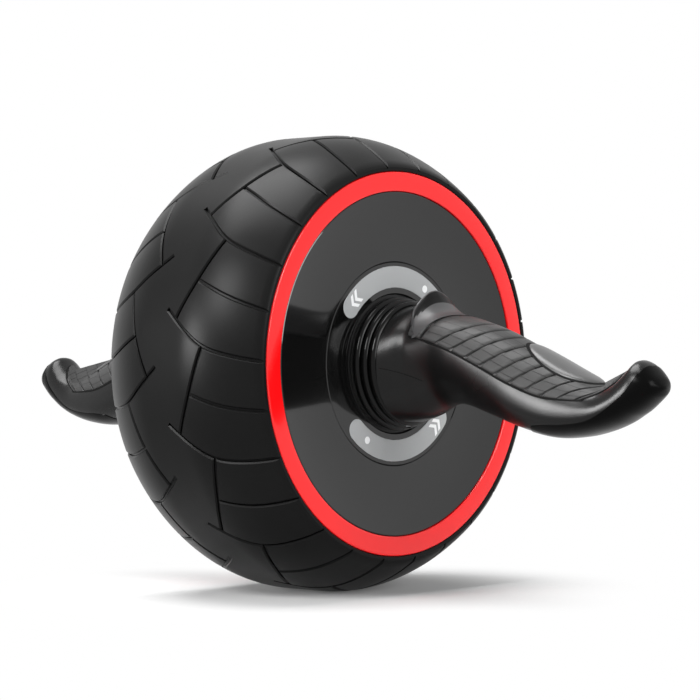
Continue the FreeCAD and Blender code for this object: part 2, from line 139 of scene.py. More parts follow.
@dataclass(frozen=True)
class Finish:
    """A moulded or metal surface: colour, gloss, mottling and grain.

    Colours are linear. Sizes are metres.
    """

    name: str
    colour: Colour
    roughness: float
    specular: float = 0.5
    metallic: float = 0.0
    mottle: float = 0.10
    mottle_size: float = 0.018
    mottle_detail: float = 4.0
    uneven: float = 0.05
    grain: float = 0.00002
    grain_size: float = 0.0007
    grain_detail: float = 2.0

    def shade(self, share: float) -> tuple[float, float, float, float]:
        """The colour, lighter or darker by a share, with full alpha."""
        return tuple(min(1.0, part * (1.0 + share)) for part in self.colour) + (1.0,)

    def height(self, sketch: Sketch, grain: Socket) -> Socket:
        """The height that the bump reads: the grain alone."""
        return grain

    def tint(self, sketch: Sketch, colour: Socket) -> Socket:
        """The colour that the shader reads: the mottled one."""
        return colour

    def make(self) -> Material:
        """Builds the material.

        Returns:
            The node material of this finish.
        """
        material = bpy.data.materials.new(self.name)
        material.use_nodes = True
        sketch = Sketch(material.node_tree)
        place = sketch.add("ShaderNodeTexCoord").outputs["Object"]
        cloud = sketch.add("ShaderNodeTexNoise", {
            "Vector": place, "Scale": 1.0 / self.mottle_size, "Detail": self.mottle_detail,
        }).outputs[0]
        grain = sketch.add("ShaderNodeTexNoise", {
            "Vector": place, "Scale": 1.0 / self.grain_size, "Detail": self.grain_detail,
        }).outputs[0]
        colour = sketch.add("ShaderNodeMix", {
            0: cloud, 6: self.shade(-self.mottle), 7: self.shade(self.mottle),
        }, data_type="RGBA").outputs[2]
        roughness = sketch.add("ShaderNodeMapRange", {
            "Value": cloud, "To Min": self.roughness - self.uneven, "To Max": self.roughness + self.uneven,
        }).outputs[0]
        bump = sketch.add("ShaderNodeBump", {
            "Height": self.height(sketch, grain), "Strength": 1.0, "Distance": self.grain,
        }).outputs[0]
        shader = sketch.add("ShaderNodeBsdfPrincipled", {
            "Base Color": self.tint(sketch, colour), "Roughness": roughness, "Normal": bump,
            "Metallic": self.metallic, "Specular IOR Level": self.specular,
        }).outputs[0]
        sketch.add("ShaderNodeOutputMaterial", {"Surface": shader})
        return material


@dataclass(frozen=True)
class CutRubber(Finish):
    """Rubber with short staggered cuts along the piece's own UV map.

    The cuts' width and softness are shares of a block, and their depth counts grains. The cuts' colour is
    darkened as painted shade.
    """

    cut_width: float = 0.05
    cut_softness: float = 0.6
    cut_depth: float = 3.0
    # painted shade: the colour in the cuts is scaled to this share
    cut_painted_shade: float = 0.25
    stagger: float = 0.5

    def cuts(self, sketch: Sketch) -> Socket:
        """Lays out the staggered cuts.

        Args:
            sketch: The material's nodes.

        Returns:
            A mask that is 1 in a cut.
        """
        surface = sketch.add("ShaderNodeTexCoord").outputs["UV"]
        return sketch.add("ShaderNodeTexBrick", {
            "Vector": surface, "Scale": 1.0, "Mortar Size": self.cut_width,
            "Mortar Smooth": self.cut_softness, "Brick Width": 1.0, "Row Height": 1.0,
        }, offset=self.stagger).outputs["Fac"]

    def height(self, sketch: Sketch, grain: Socket) -> Socket:
        """The grain, lowered in the cuts."""
        depth = sketch.joined("MULTIPLY", self.cuts(sketch), self.cut_depth)
        return sketch.joined("SUBTRACT", grain, depth)

    def tint(self, sketch: Sketch, colour: Socket) -> Socket:
        """The mottled colour, with painted shade darkening the cuts."""
        return sketch.add("ShaderNodeMix", {
            0: self.cuts(sketch), 6: colour, 7: self.shade(self.cut_painted_shade - 1.0),
        }, data_type="RGBA").outputs[2]


class Palette:
    """All finishes of the roller, each made once."""

    FINISHES = (
        Finish("tyre_black", grey(0.003), 0.35, specular=0.10, mottle=0.18, grain_size=0.0009),
        Finish("ring_red", (0.93, 0.004, 0.006), 0.12, mottle=0.02, uneven=0.02, grain=0.000003),
        Finish("disc_black", grey(0.003), 0.07, specular=0.55, mottle=0.08, uneven=0.01, grain=0.000001),
        Finish("window_grey", (0.37, 0.38, 0.385), 0.22, mottle=0.05, mottle_size=0.03, uneven=0.03,
               grain=0.000003),
        Finish("arrow_white", (0.88, 0.89, 0.90), 0.40, mottle=0.02, grain=0.000004),
        Finish("collar_black", grey(0.002), 0.12, specular=0.16, mottle=0.08, uneven=0.02, grain=0.000002),
        Finish("handle_black", grey(0.003), 0.26, specular=0.22, mottle=0.12, grain=0.000008),
        Finish("sole_black", grey(0.001), 0.22, specular=0.05, uneven=0.03, grain=0.000004),
        CutRubber("grip_grey", grey(0.026), 0.44, specular=0.18, mottle=0.12, grain=0.00003,
                  grain_size=0.0006),
        Finish("badge_grey", grey(0.055), 0.30, specular=0.30, grain=0.000012),
        Finish("guard_grey", (0.040, 0.040, 0.041), 0.36, specular=0.30, mottle=0.12, grain=0.00001),
        # painted shade for the hollow at the top of the guard's scoop
        Finish("guard_hollow_painted_shade", grey(0.004), 0.34, specular=0.08, mottle=0.12, grain=0.00001),
        # painted groove shade for the rib floors and the rings round grip and badge; plain matt black for the
        # neck seams
        Finish("painted_groove_shade_and_seam_black", grey(0.004), 0.60, specular=0.05),
        Finish("inner_black", grey(0.020), 0.48, specular=0.2),
        Finish("screw_zinc", (0.55, 0.55, 0.56), 0.30, metallic=1.0, grain=0.00001),
        Finish("spring_steel_blue", (0.33, 0.34, 0.37), 0.28, metallic=1.0, grain=0.00001),
        Finish("bearing_dark", grey(0.020), 0.42, specular=0.2, mottle=0.04),
    )

    def __init__(self) -> None:
        """Makes every material."""
        self.materials = {finish.name: finish.make() for finish in self.FINISHES}

    def __getitem__(self, name: str) -> Material:
        """The material of a finish."""
        return self.materials[name]


def shaped_grid(columns: int, rows: int, place: Place) -> Mesh:
    """A grid whose points are set out by a rule.

    Args:
        columns: Steps across.
        rows: Steps along.
        place: Gives a point in millimetres from its column and row.

    Returns:
        The new mesh, in millimetres.
    """
    mesh = bmesh.new()
    bmesh.ops.create_grid(mesh, x_segments=columns, y_segments=rows, size=1.0)
    for vert in mesh.verts:
        column = round((vert.co.x + 1.0) / 2.0 * columns)
        row = round((vert.co.y + 1.0) / 2.0 * rows)
        vert.co = place(column, row)
    return mesh


def closed(mesh: Mesh) -> Mesh:
    """Welds seams and poles, fills open rims and points the faces outwards.

    Args:
        mesh: The mesh to close, in millimetres.

    Returns:
        The same mesh.
    """
    bmesh.ops.remove_doubles(mesh, verts=mesh.verts, dist=WELD)
    bmesh.ops.dissolve_degenerate(mesh, edges=mesh.edges, dist=WELD)
    rims = [edge for edge in mesh.edges if edge.is_boundary]
    bmesh.ops.holes_fill(mesh, edges=rims, sides=0)
    bmesh.ops.recalc_face_normals(mesh, faces=mesh.faces)
    if mesh.calc_volume(signed=True) < 0.0:
        bmesh.ops.reverse_faces(mesh, faces=mesh.faces)
    return mesh


def turned(outline: Sequence[Pair], steps: int) -> Mesh:
    """Spins a closed outline once round the axle.

    Args:
        outline: Points as (radius, place along the axle), in millimetres, in order.
        steps: Steps round.

    Returns:
        The turned mesh, in millimetres.
    """
    mesh = bmesh.new()
    verts = [mesh.verts.new((radius, along, 0.0)) for radius, along in outline]
    for pair in zip(verts, verts[1:] + verts[:1]):
        mesh.edges.new(pair)
    bmesh.ops.spin(
        mesh, geom=mesh.verts[:] + mesh.edges[:], cent=CENTRE, axis=AXLE, dvec=CENTRE,
        angle=FULL_TURN, steps=steps, use_merge=True, use_duplicate=False,
    )
    return closed(mesh)


def new_object(name: str, mesh: Mesh, unit: float = MM) -> Thing:
    """Turns a mesh into an object in metres, and links it.

    Args:
        name: The object's name.
        mesh: Its mesh, which is used up.
        unit: The mesh's unit in metres.

    Returns:
        The new object.
    """
    bmesh.ops.scale(mesh, vec=(unit, unit, unit), verts=mesh.verts)
    data = bpy.data.meshes.new(name)
    mesh.to_mesh(data)
    mesh.free()
    thing = bpy.data.objects.new(name, data)
    bpy.context.scene.collection.objects.link(thing)
    return thing


def carve(thing: Thing, cutter: Thing) -> None:
    """Cuts one object out of another, and removes the cutter.

    Args:
        thing: The piece that is cut.
        cutter: What is cut out of it.
    """
    change = thing.modifiers.new("carve", "BOOLEAN")
    change.operation = "DIFFERENCE"
    change.solver = "EXACT"
    change.object = cutter
    graph = bpy.context.evaluated_depsgraph_get()
    data = bpy.data.meshes.new_from_object(thing.evaluated_get(graph))
    thing.modifiers.clear()
    thing.data = data
    bpy.data.objects.remove(cutter)


def dress(
    thing: Thing, materials: Material | Sequence[Material], body: Body, slot: Slot,
    stands_for: Sequence[str] = (), crease: float = CREASE,
) -> None:
    """Gives a piece its finish and its body.

    Args:
        thing: The piece.
        materials: Its finish, or its finishes in the order of the faces' material numbers.
        body: What it moves with.
        slot: Its material slot in the record; not used.
        stands_for: The nodes that it replaces.
        crease: Edges sharper than this angle, in degrees, stay crisp.
    """
    for material in [materials] if isinstance(materials, Material) else materials:
        thing.data.materials.append(material)
    thing.data.shade_smooth()
    thing.data.set_sharp_from_angle(angle=math.radians(crease))
    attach(thing, body.value)
    if stands_for:
        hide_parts(*stands_for)
    log.info("%s: %d faces, on %s", thing.name, len(thing.data.polygons), body.value)


def follow(points: Sequence[Pair], at: float) -> float:
    """Reads a smooth curve through points.

    Args:
        points: Pairs of place and value, in rising order of place.
        at: The place to read.

    Returns:
        The value there; beyond the ends, the end's value.
    """
    if at <= points[0][0]:
        return points[0][1]
    if at >= points[-1][0]:
        return points[-1][1]
    n = max(i for i, point in enumerate(points) if point[0] <= at)
    (x0, y0), (x1, y1) = points[n], points[n + 1]
    before = points[max(n - 1, 0)]
    after = points[min(n + 2, len(points) - 1)]
    span = x1 - x0
    t = (at - x0) / span
    slope0 = (y1 - before[1]) / (x1 - before[0]) * span
    slope1 = (after[1] - y0) / (after[0] - x0) * span
    return (
        y0 * (2 * t ** 3 - 3 * t ** 2 + 1) + slope0 * (t ** 3 - 2 * t ** 2 + t)
        + y1 * (3 * t ** 2 - 2 * t ** 3) + slope1 * (t ** 3 - t ** 2)
    )


def ramp(low: float, high: float, at: float) -> float:
    """A smooth rise from 0 at low to 1 at high."""
    t = min(1.0, max(0.0, (at - low) / (high - low)))
    return t * t * (3.0 - 2.0 * t)


def heading(turn: float) -> Vector:
    """The direction away from the axle at an angle round it, in radians."""
    return Vector((math.cos(turn), 0.0, math.sin(turn)))


@dataclass
class Tyre:
    """The crowned rubber tyre with its cut tread.

    Sizes are millimetres. A groove's line is a table of (distance from the tread's middle, groove count).
    """

    palette: Palette
    radius: float = 93.5
    half_width: float = 42.7
    crown_drop: float = 13.6
    crown_flat: float = 10.0
    crown_exponent: float = 1.844
    wall: float = 5.0
    lip_radius: float = 77.5
    lip_depth: float = 39.3
    edge_round: float = 1.1
    shoulder_shares: tuple[Pair, ...] = ((0.15, 0.30), (0.75, 0.0))
    lip_share: float = 0.4
    steps_round: int = 260
    steps_across: int = 44
    steps_inside: int = 12
    crease: float = 22.0
    groove_count: int = 26
    first_groove: float = 111.83
    groove_width: float = 0.85
    groove_chamfer: float = 0.55
    groove_depth: float = 1.15
    groove_floor_share: float = 0.8
    groove_overrun: float = 0.4
    groove_steps: int = 14
    slope_step: float = 0.05
    long_line: tuple[Pair, ...] = ((2.3, -0.90), (10.0, -0.62), (21.2, -0.26), (33.0, -0.09), (44.5, 0.01))
    short_line: tuple[Pair, ...] = ((15.0, -0.43), (29.5, -0.17), (44.5, 0.01))
    joining_line: tuple[Pair, ...] = ((7.6, 1.27), (14.9, 0.57), (21.2, -0.26))

    def crown(self, across: float) -> float:
        """The tread's radius at a place across the tyre."""
        share = max(0.0, abs(across) - self.crown_flat) / (self.half_width - self.crown_flat)
        return self.radius - self.crown_drop * share ** self.crown_exponent

    def outline(self) -> list[Pair]:
        """Draws the tyre's closed outline.

        Returns:
            Its points as (radius, place along the axle).
        """
        flat = self.half_width - self.edge_round
        outer = [
            (self.crown(across), across)
            for across in (flat * (2 * n / self.steps_across - 1) for n in range(self.steps_across + 1))
        ]
        shoulder = self.crown(self.half_width)
        lip = self.edge_round * self.lip_share
        corner = [
            (shoulder - self.edge_round * drop, self.half_width - self.edge_round * back)
            for drop, back in self.shoulder_shares
        ]
        corner += [
            (self.lip_radius + lip, self.half_width), (self.lip_radius, self.half_width - lip),
            (self.lip_radius, self.lip_depth),
        ]
        half_steps = self.steps_inside // 2
        inner = [
            (self.crown(across) - self.wall, across)
            for across in (self.lip_depth * (1 - n / half_steps) for n in range(1, self.steps_inside))
        ]
        mirrored = [(radius, -across) for radius, across in reversed(corner)]
        return outer + corner + inner + mirrored

    def spot(self, across: float, count: float) -> Vector:
        """A point on the tread.

        Args:
            across: Its place across the tread.
            count: Its groove count round the tyre.

        Returns:
            The point.
        """
        turn = math.radians(self.first_groove - 360.0 / self.groove_count * count)
        radius = self.crown(across)
        return Vector((radius * math.cos(turn), across, radius * math.sin(turn)))

    def outward(self, across: float, point: Vector) -> Vector:
        """The direction square to the tread.

        Args:
            across: The place across the tyre.
            point: The point there.

        Returns:
            A direction of length 1.
        """
        step = self.slope_step
        slope = (self.crown(across + step) - self.crown(across - step)) / (2 * step)
        radial = Vector((point.x, 0.0, point.z)).normalized()
        return (radial - AXLE * slope).normalized()

    def groove(self, line: Sequence[Pair], count: float, side: Side) -> Mesh:
        """Makes one groove's cutter.

        Args:
            line: The groove's line.
            count: Which groove round the tyre.
            side: Which half of the tread.

        Returns:
            A closed bar along the groove.
        """
        half = self.groove_width / 2
        top = half + self.groove_chamfer + self.groove_overrun
        half_section = (
            (top, self.groove_overrun), (half, -self.groove_chamfer),
            (half * self.groove_floor_share, -self.groove_depth),
        )
        section = [(-width, height) for width, height in half_section] + list(reversed(half_section))
        start, end = line[0][0], line[-1][0]
        spread = [start + (end - start) * n / self.groove_steps for n in range(self.groove_steps + 1)]
        path = [
            (side.value * away, self.spot(side.value * away, count + follow(line, away))) for away in spread
        ]

        def place(column: int, row: int) -> Vector:
            """Sets out the bar.

            Args:
                column: The corner of its section.
                row: The step along it.

            Returns:
                The point there.
            """
            across, point = path[row]
            before = path[max(row - 1, 0)][1]
            after = path[min(row + 1, self.groove_steps)][1]
            outward = self.outward(across, point)
            sideways = (after - before).normalized().cross(outward).normalized()
            width, height = section[column % len(section)]
            return point + sideways * width + outward * height

        return closed(shaped_grid(len(section), self.groove_steps, place))

    def cutter(self, line: Sequence[Pair], long_ones: bool) -> Thing:
        """Joins all grooves of one kind.

        Args:
            line: The grooves' line.
            long_ones: Whether they start at the counts of the long grooves.

        Returns:
            The cutter.
        """
        both = bmesh.new()
        for side in Side:
            offset = 0 if (side is Side.LEFT) == long_ones else 1
            for count in range(offset, self.groove_count + offset, 2):
                bar = self.groove(line, count, side)
                data = bpy.data.meshes.new("groove")
                bar.to_mesh(data)
                bar.free()
                both.from_mesh(data)
                bpy.data.meshes.remove(data)
        return new_object("grooves", both)

    def build(self) -> None:
        """Turns the tyre and cuts its tread."""
        tyre = new_object("tread_tyre", turned(self.outline(), self.steps_round))
        for line, long_ones in ((self.long_line, True), (self.short_line, False), (self.joining_line, True)):
            carve(tyre, self.cutter(line, long_ones))
        dress(tyre, self.palette["tyre_black"], Body.WHEEL, Slot.TYRE, ["tyre"], self.crease)


@dataclass
class SidePart:
    """A group of pieces that the roller has at each end of its axle."""

    side: Side
    palette: Palette

    def named(self, name: str) -> str:
        """A piece's name with its side."""
        return f"{self.side.word}_{name}"


@dataclass
class WheelSide(SidePart):
    """One side of the wheel: red ring, dished disc, grey windows and their marks.

    Sizes are millimetres, and angles are degrees.
    """

    back: float = 38.8
    ring_outer: float = 77.4
    ring_inner: float = 69.5
    ring_face: float = 42.7
    ring_round: float = 0.7
    round_steps: int = 6
    disc_radius: float = 69.35
    disc_face: float = 42.2
    disc_bevel: float = 0.5
    bevel_share: float = 0.3
    disc_crease: float = 12.0
    dish_steps: int = 16
    dial_face: float = 39.8
    dial_radius: float = 40.8
    dial_line: float = 0.6
    line_depth: float = 0.35
    line_brink: float = 0.02
    bore: float = 28.0
    window_inner: float = 30.6
    window_outer: float = 39.5
    window_span: float = 92.0
    window_turn: float = 4.0
    window_proud: float = 0.15
    window_bevel: float = 0.25
    window_skirt: float = 0.8
    window_steps: int = 40
    window_end_steps: int = 12
    mark_height: float = 0.06
    arrow_arm: float = 2.9
    arrow_reach: float = 2.2
    arrow_stroke: float = 1.35
    arrow_tail_share: float = 1.2
    arrow_notch_share: float = 1.25
    arrow_pitch: float = 2.9
    arrow_count: int = 2
    arrow_place: float = 3.0
    dot_radius: float = 1.5
    dot_steps: int = 24
    dot_place: float = 12.0
    steps: int = 240

    @property
    def window_middle(self) -> float:
        """The radius of the windows' middle line."""
        return (self.window_inner + self.window_outer) / 2

    def put(self, mesh: Mesh) -> Mesh:
        """Moves a piece drawn on the left to this side, by half a turn about Z that keeps it right-handed.

        Args:
            mesh: The piece's mesh.

        Returns:
            The same mesh.
        """
        if self.side is Side.RIGHT:
            bmesh.ops.rotate(mesh, cent=CENTRE, matrix=Matrix.Rotation(math.pi, 3, "Z"), verts=mesh.verts)
        return mesh

    def ring(self) -> None:
        """Turns the red ring."""
        bend = self.ring_round
        outline = [(self.ring_inner, self.back), (self.ring_outer, self.back)]
        for centre, quarter in ((self.ring_outer - bend, 0), (self.ring_inner + bend, 1)):
            for n in range(self.round_steps + 1):
                angle = QUARTER_TURN * (quarter + n / self.round_steps)
                outline.append((
                    centre + bend * math.cos(angle), self.ring_face - bend + bend * math.sin(angle),
                ))
        thing = new_object(self.named("red_ring"), self.put(turned(outline, self.steps)))
        dress(thing, self.palette["ring_red"], Body.WHEEL, Slot.RED, [self.named("trim_ring")])

    def disc(self) -> None:
        """Turns the dished black disc with its scribed dial line."""
        bevel = self.disc_bevel
        chamfer = bevel * self.bevel_share
        line_outer = self.dial_radius + self.dial_line
        rim = self.disc_radius - bevel
        outline = [
            (self.bore, self.back), (self.disc_radius, self.back), (self.disc_radius, self.disc_face - bevel),
            (self.disc_radius - chamfer, self.disc_face - chamfer),
        ]
        for n in range(self.dish_steps):
            share = 1.0 - n / self.dish_steps
            rise = (self.disc_face - self.dial_face) * share ** 2
            outline.append((line_outer + (rim - line_outer) * share, self.dial_face + rise))
        outline += [
            (line_outer, self.dial_face - self.line_brink),
            (self.dial_radius + self.dial_line / 2, self.dial_face - self.line_depth),
            (self.dial_radius, self.dial_face - self.line_brink),
            (self.bore + bevel, self.dial_face), (self.bore, self.dial_face - bevel),
        ]
        thing = new_object(self.named("dial_disc"), self.put(turned(outline, self.steps)))
        stands_for = [self.named("side_disc")]
        dress(thing, self.palette["disc_black"], Body.WHEEL, Slot.BLACK, stands_for, self.disc_crease)

    def window(self, middle: float) -> Mesh:
        """Makes one arc window with rounded ends.

        Args:
            middle: The angle of its middle round the axle.

        Returns:
            The plate's mesh.
        """
        radius = self.window_middle
        half = (self.window_outer - self.window_inner) / 2
        top = self.dial_face + self.window_proud
        drop = (
            (0.0, 0.0), (half - self.window_bevel, 0.0),
            (half, -self.window_bevel), (half, -self.window_skirt),
        )
        mesh = bmesh.new()
        start = math.radians(middle - self.window_span / 2)
        span = math.radians(self.window_span)

        def spin(points: Sequence[Pair], centre: Vector, turn: float, angle: float, steps: int) -> None:
            """Spins an open outline about its centre.

            Args:
                points: The outline as (distance from the centre, height over the plate's top).
                centre: The centre.
                turn: The angle at which the outline is drawn.
                angle: How far it goes round.
                steps: Steps round.
            """
            away = heading(turn)
            spots = [centre + away * reach + AXLE * (top + height) for reach, height in points]
            verts = [mesh.verts.new(spot) for spot in spots]
            edges = [mesh.edges.new(pair) for pair in zip(verts, verts[1:])]
            bmesh.ops.spin(
                mesh, geom=verts + edges, cent=centre, axis=-AXLE, dvec=CENTRE, angle=angle, steps=steps,
                use_merge=False, use_duplicate=False,
            )

        across = [(radius - away, height) for away, height in reversed(drop)]
        across += [(radius + away, height) for away, height in drop[1:]]
        spin(across, CENTRE, start, span, self.window_steps)
        for turn, first in ((start, math.pi), (start + span, 0.0)):
            spin(drop, heading(turn) * radius, turn + first, math.pi, self.window_end_steps)
        return self.put(closed(mesh))

    def mark(self, points: Sequence[Pair], angle: float) -> Mesh:
        """Makes a thin printed mark on a window.

        Args:
            points: Its outline as (place along the arc, place outwards) from its centre.
            angle: Where its centre is round the axle.

        Returns:
            The mark's mesh.
        """
        turn = math.radians(angle)
        outward = heading(turn)
        along = heading(turn + QUARTER_TURN)
        level = AXLE * (self.dial_face + self.window_proud - self.mark_height)
        mesh = bmesh.new()
        corners = [
            mesh.verts.new(outward * (self.window_middle + up) + along * on + level) for on, up in points
        ]
        made = bmesh.ops.extrude_face_region(mesh, geom=[mesh.faces.new(corners)])["geom"]
        raised = [part for part in made if isinstance(part, bmesh.types.BMVert)]
        bmesh.ops.translate(mesh, vec=AXLE * 2 * self.mark_height, verts=raised)
        return self.put(closed(mesh))

    def arrowhead(self, tip: float) -> list[Pair]:
        """Draws one arrowhead.

        Args:
            tip: The place of its tip along the arc.

        Returns:
            Its outline.
        """
        arm, ends = self.arrow_arm, tip + self.arrow_reach
        tail = ends + self.arrow_stroke * self.arrow_tail_share
        notch = tip + self.arrow_stroke * self.arrow_notch_share
        return [(tip, 0.0), (ends, arm), (tail, arm), (notch, 0.0), (tail, -arm), (ends, -arm)]

    def dot(self) -> list[Pair]:
        """The outline of a plain round dot."""
        turns = [FULL_TURN * n / self.dot_steps for n in range(self.dot_steps)]
        return [(self.dot_radius * math.cos(turn), self.dot_radius * math.sin(turn)) for turn in turns]

    def windows(self) -> None:
        """Makes both windows, with arrowheads at the leading end of each and a dot at the other."""
        turn = self.window_turn * self.side.value
        for middle, name in ((90.0 - turn, "upper"), (-90.0 - turn, "lower")):
            plate = new_object(self.named(f"{name}_window"), self.window(middle))
            stands_for = [self.named("marker_inlays")]
            dress(plate, self.palette["window_grey"], Body.WHEEL, Slot.WINDOW, stands_for)
            first, last = middle - self.window_span / 2, middle + self.window_span / 2
            marks = [
                (f"{name}_arrow_{n + 1}", self.arrowhead(-self.arrow_reach / 2 + n * self.arrow_pitch),
                 first + self.arrow_place)
                for n in range(self.arrow_count)
            ]
            for label, points, angle in [*marks, (f"{name}_dot", self.dot(), last - self.dot_place)]:
                thing = new_object(self.named(label), self.mark(points, angle))
                dress(thing, self.palette["arrow_white"], Body.WHEEL, Slot.WINDOW)

    def build(self) -> None:
        """All pieces of this side."""
        self.ring()
        self.disc()
        self.windows()


@dataclass
class Collar(SidePart):
    """The stack of polished rings round the handle's root. Millimetres."""

    start: float = 40.2
    end: float = 50.0
    bore: float = 22.1
    radii: tuple[float, ...] = (27.0, 26.0, 25.0)
    groove: float = 1.3
    gap_share: float = 0.02
    bulge_power: float = 0.45
    ring_steps: int = 8
    steps: int = 160
    screw_radius: float = 2.1
    screw_steps: int = 32
    hole_length: float = 20.0
    hole_centre: float = 28.0

    def build(self) -> None:
        """Turns the stack, with a hole for the grub screw underneath."""
        outline = [(self.bore, self.start)]
        length = (self.end - self.start) / len(self.radii)
        for ring, radius in enumerate(self.radii):
            for n in range(self.ring_steps + 1):
                share = n / self.ring_steps
                bulge = math.sin(math.pi * share) ** self.bulge_power
                place = ring + self.gap_share + (1.0 - 2.0 * self.gap_share) * share
                outline.append((radius - self.groove * (1.0 - bulge), self.start + length * place))
        outline += [(outline[-1][0], self.end), (self.bore, self.end)]
        stack = turned([(radius, along * self.side.value) for radius, along in outline], self.steps)
        thing = new_object(self.named("collar_rings"), stack)
        hole = bmesh.new()
        middle = (self.start + self.end) / 2 * self.side.value
        bmesh.ops.create_cone(
            hole, cap_ends=True, segments=self.screw_steps, radius1=self.screw_radius,
            radius2=self.screw_radius, depth=self.hole_length,
            matrix=Matrix.Translation((0.0, middle, -self.hole_centre)),
        )
        carve(thing, new_object("screw_hole", hole))
        dress(thing, self.palette["collar_black"], Body.HANDLES, Slot.BLACK, [self.named("collar")])


@dataclass(frozen=True)
class Section:
    """The handle's outline square to the axle at one place. Millimetres."""

    crest: float
    level: float
    floor: float
    width: float
    fullness: float
    roundness: float = 2.25

    def upper(self, share: float, lift: float) -> Pair:
        """A point over the top, from the near side at 0 to the far side at 1."""
        return self.around(math.pi * (0.5 + share), lift)

    def around(self, angle: float, lift: float) -> Pair:
        """A point of the outline, lifted off it.

        Args:
            angle: Where it is, from the underside at 0 by the near side and over the top.
            lift: How far it stands off.

        Returns:
            The point as (x, z).
        """
        sine, cosine = math.sin(angle), -math.cos(angle)
        over = cosine > 0.0
        power = 2.0 / (self.fullness if over else self.roundness)
        rise = (self.crest if over else self.floor) - self.level
        x = (self.width + lift) * math.copysign(abs(sine) ** power, sine)
        return x, self.level + (rise + math.copysign(lift, rise)) * abs(cosine) ** power

    def turn_at(self, height: float) -> float:
        """Finds where the near side has some height.

        Args:
            height: The height.

        Returns:
            The angle there, as around takes it.
        """
        over = height > self.level
        rise = (self.crest if over else self.floor) - self.level
        share = min(1.0, max(0.0, (height - self.level) / rise if rise else 0.0))
        away = math.acos(share ** ((self.fullness if over else self.roundness) / 2.0))
        return math.pi - away if over else away


@dataclass
class HandleForm(SidePart):
    """The form that all pieces of one handle follow.

    Sizes are millimetres. A table of shares goes along the handle, from the collar at 0 to the tip at 1. Its
    values are shares of the height or of the half width.
    """

    root: float = 50.0
    length: float = 122.5
    height: float = 30.0
    half_width: float = 16.5
    tip_start_share: float = 0.985
    grip_proud: float = 0.45
    sunk: float = 0.3
    crest_shares: tuple[Pair, ...] = (
        (0.0, 0.777), (0.04, 0.762), (0.085, 0.715), (0.14, 0.662), (0.185, 0.638), (0.245, 0.590),
        (0.365, 0.455), (0.490, 0.245), (0.610, 0.030), (0.710, -0.155), (0.790, -0.270), (0.850, -0.190),
        (0.893, -0.030), (0.912, 0.050), (0.924, 0.062), (0.950, 0.010), (0.980, -0.125), (1.0, -0.240),
    )
    level_shares: tuple[Pair, ...] = (
        (0.0, 0.0), (0.080, 0.150), (0.165, 0.240), (0.245, 0.100), (0.365, -0.150), (0.490, -0.420),
        (0.610, -0.600), (0.710, -0.640), (0.790, -0.610), (0.850, -0.520), (0.893, -0.420), (0.918, -0.350),
        (0.950, -0.270), (0.980, -0.255), (1.0, -0.280),
    )
    floor_shares: tuple[Pair, ...] = (
        (0.0, -0.790), (0.080, -0.700), (0.165, -0.545), (0.245, -0.535), (0.365, -0.670), (0.490, -0.825),
        (0.610, -0.920), (0.710, -0.900), (0.790, -0.825), (0.850, -0.735), (0.893, -0.645), (0.918, -0.590),
        (0.950, -0.500), (0.980, -0.400), (1.0, -0.320),
    )
    width_shares: tuple[Pair, ...] = (
        (0.0, 1.412), (0.04, 1.270), (0.080, 1.120), (0.165, 1.010), (0.245, 1.0), (0.365, 1.0), (0.490, 1.0),
        (0.610, 0.950), (0.710, 0.865), (0.790, 0.780), (0.850, 0.715), (0.893, 0.660), (0.918, 0.625),
        (0.950, 0.550), (0.980, 0.420), (1.0, 0.200),
    )
    fullness: tuple[Pair, ...] = (
        (0.0, 2.0), (0.10, 2.1), (0.16, 2.6), (0.24, 2.5), (0.34, 2.25), (1.0, 2.25),
    )

    def section(self, reach: float) -> Section:
        """Draws the outline at one place, rounded off at the tip.

        Args:
            reach: The place as a share of the handle's length.

        Returns:
            The outline there.
        """
        closing = max(0.0, (reach - self.tip_start_share) / (1.0 - self.tip_start_share))
        scale = math.sqrt(max(0.0, 1.0 - closing ** 2))
        tables = (self.crest_shares, self.level_shares, self.floor_shares)
        crest, level, floor = (follow(shares, reach) * self.height for shares in tables)
        middle = (crest + floor) / 2
        width = follow(self.width_shares, reach) * self.half_width * scale
        crest, level, floor = (middle + (line - middle) * scale for line in (crest, level, floor))
        return Section(crest, level, floor, width, follow(self.fullness, reach))

    def spot(self, along: float, flat: Pair) -> Vector:
        """A point from its place along the axle and its (x, z)."""
        return Vector((flat[0], along * self.side.value, flat[1]))

    def reach(self, along: float) -> float:
        """The share of the handle's length at a place along the axle."""
        return (along - self.root) / self.length

    def along(self, reach: float) -> float:
        """The place along the axle at a share of the handle's length."""
        return self.root + reach * self.length


@dataclass
class Shell(HandleForm):
    """The black moulding from the collar to the tip."""

    rows: int = 130
    even_rows: int = 121
    tip_rows: int = 14
    columns: int = 96

    def build(self) -> None:
        """Shapes the moulding, with closer rows at the tip."""
        shares = [n / self.rows for n in range(self.even_rows)]
        last = shares[-1]
        shares += [
            last + (1.0 - last) * math.sin(QUARTER_TURN * n / self.tip_rows)
            for n in range(1, self.tip_rows + 1)
        ]
        sections = [self.section(share) for share in shares]

        def place(column: int, row: int) -> Vector:
            """A point of the moulding at a step round it and a row along it."""
            flat = sections[row].around(FULL_TURN * column / self.columns, 0.0)
            return self.spot(self.along(shares[row]), flat)

        mesh = closed(shaped_grid(self.columns, len(shares) - 1, place))
        thing = new_object(self.named("handle_shell"), mesh)
        dress(thing, self.palette["handle_black"], Body.HANDLES, Slot.HANDLE, [self.named("handle_body")])


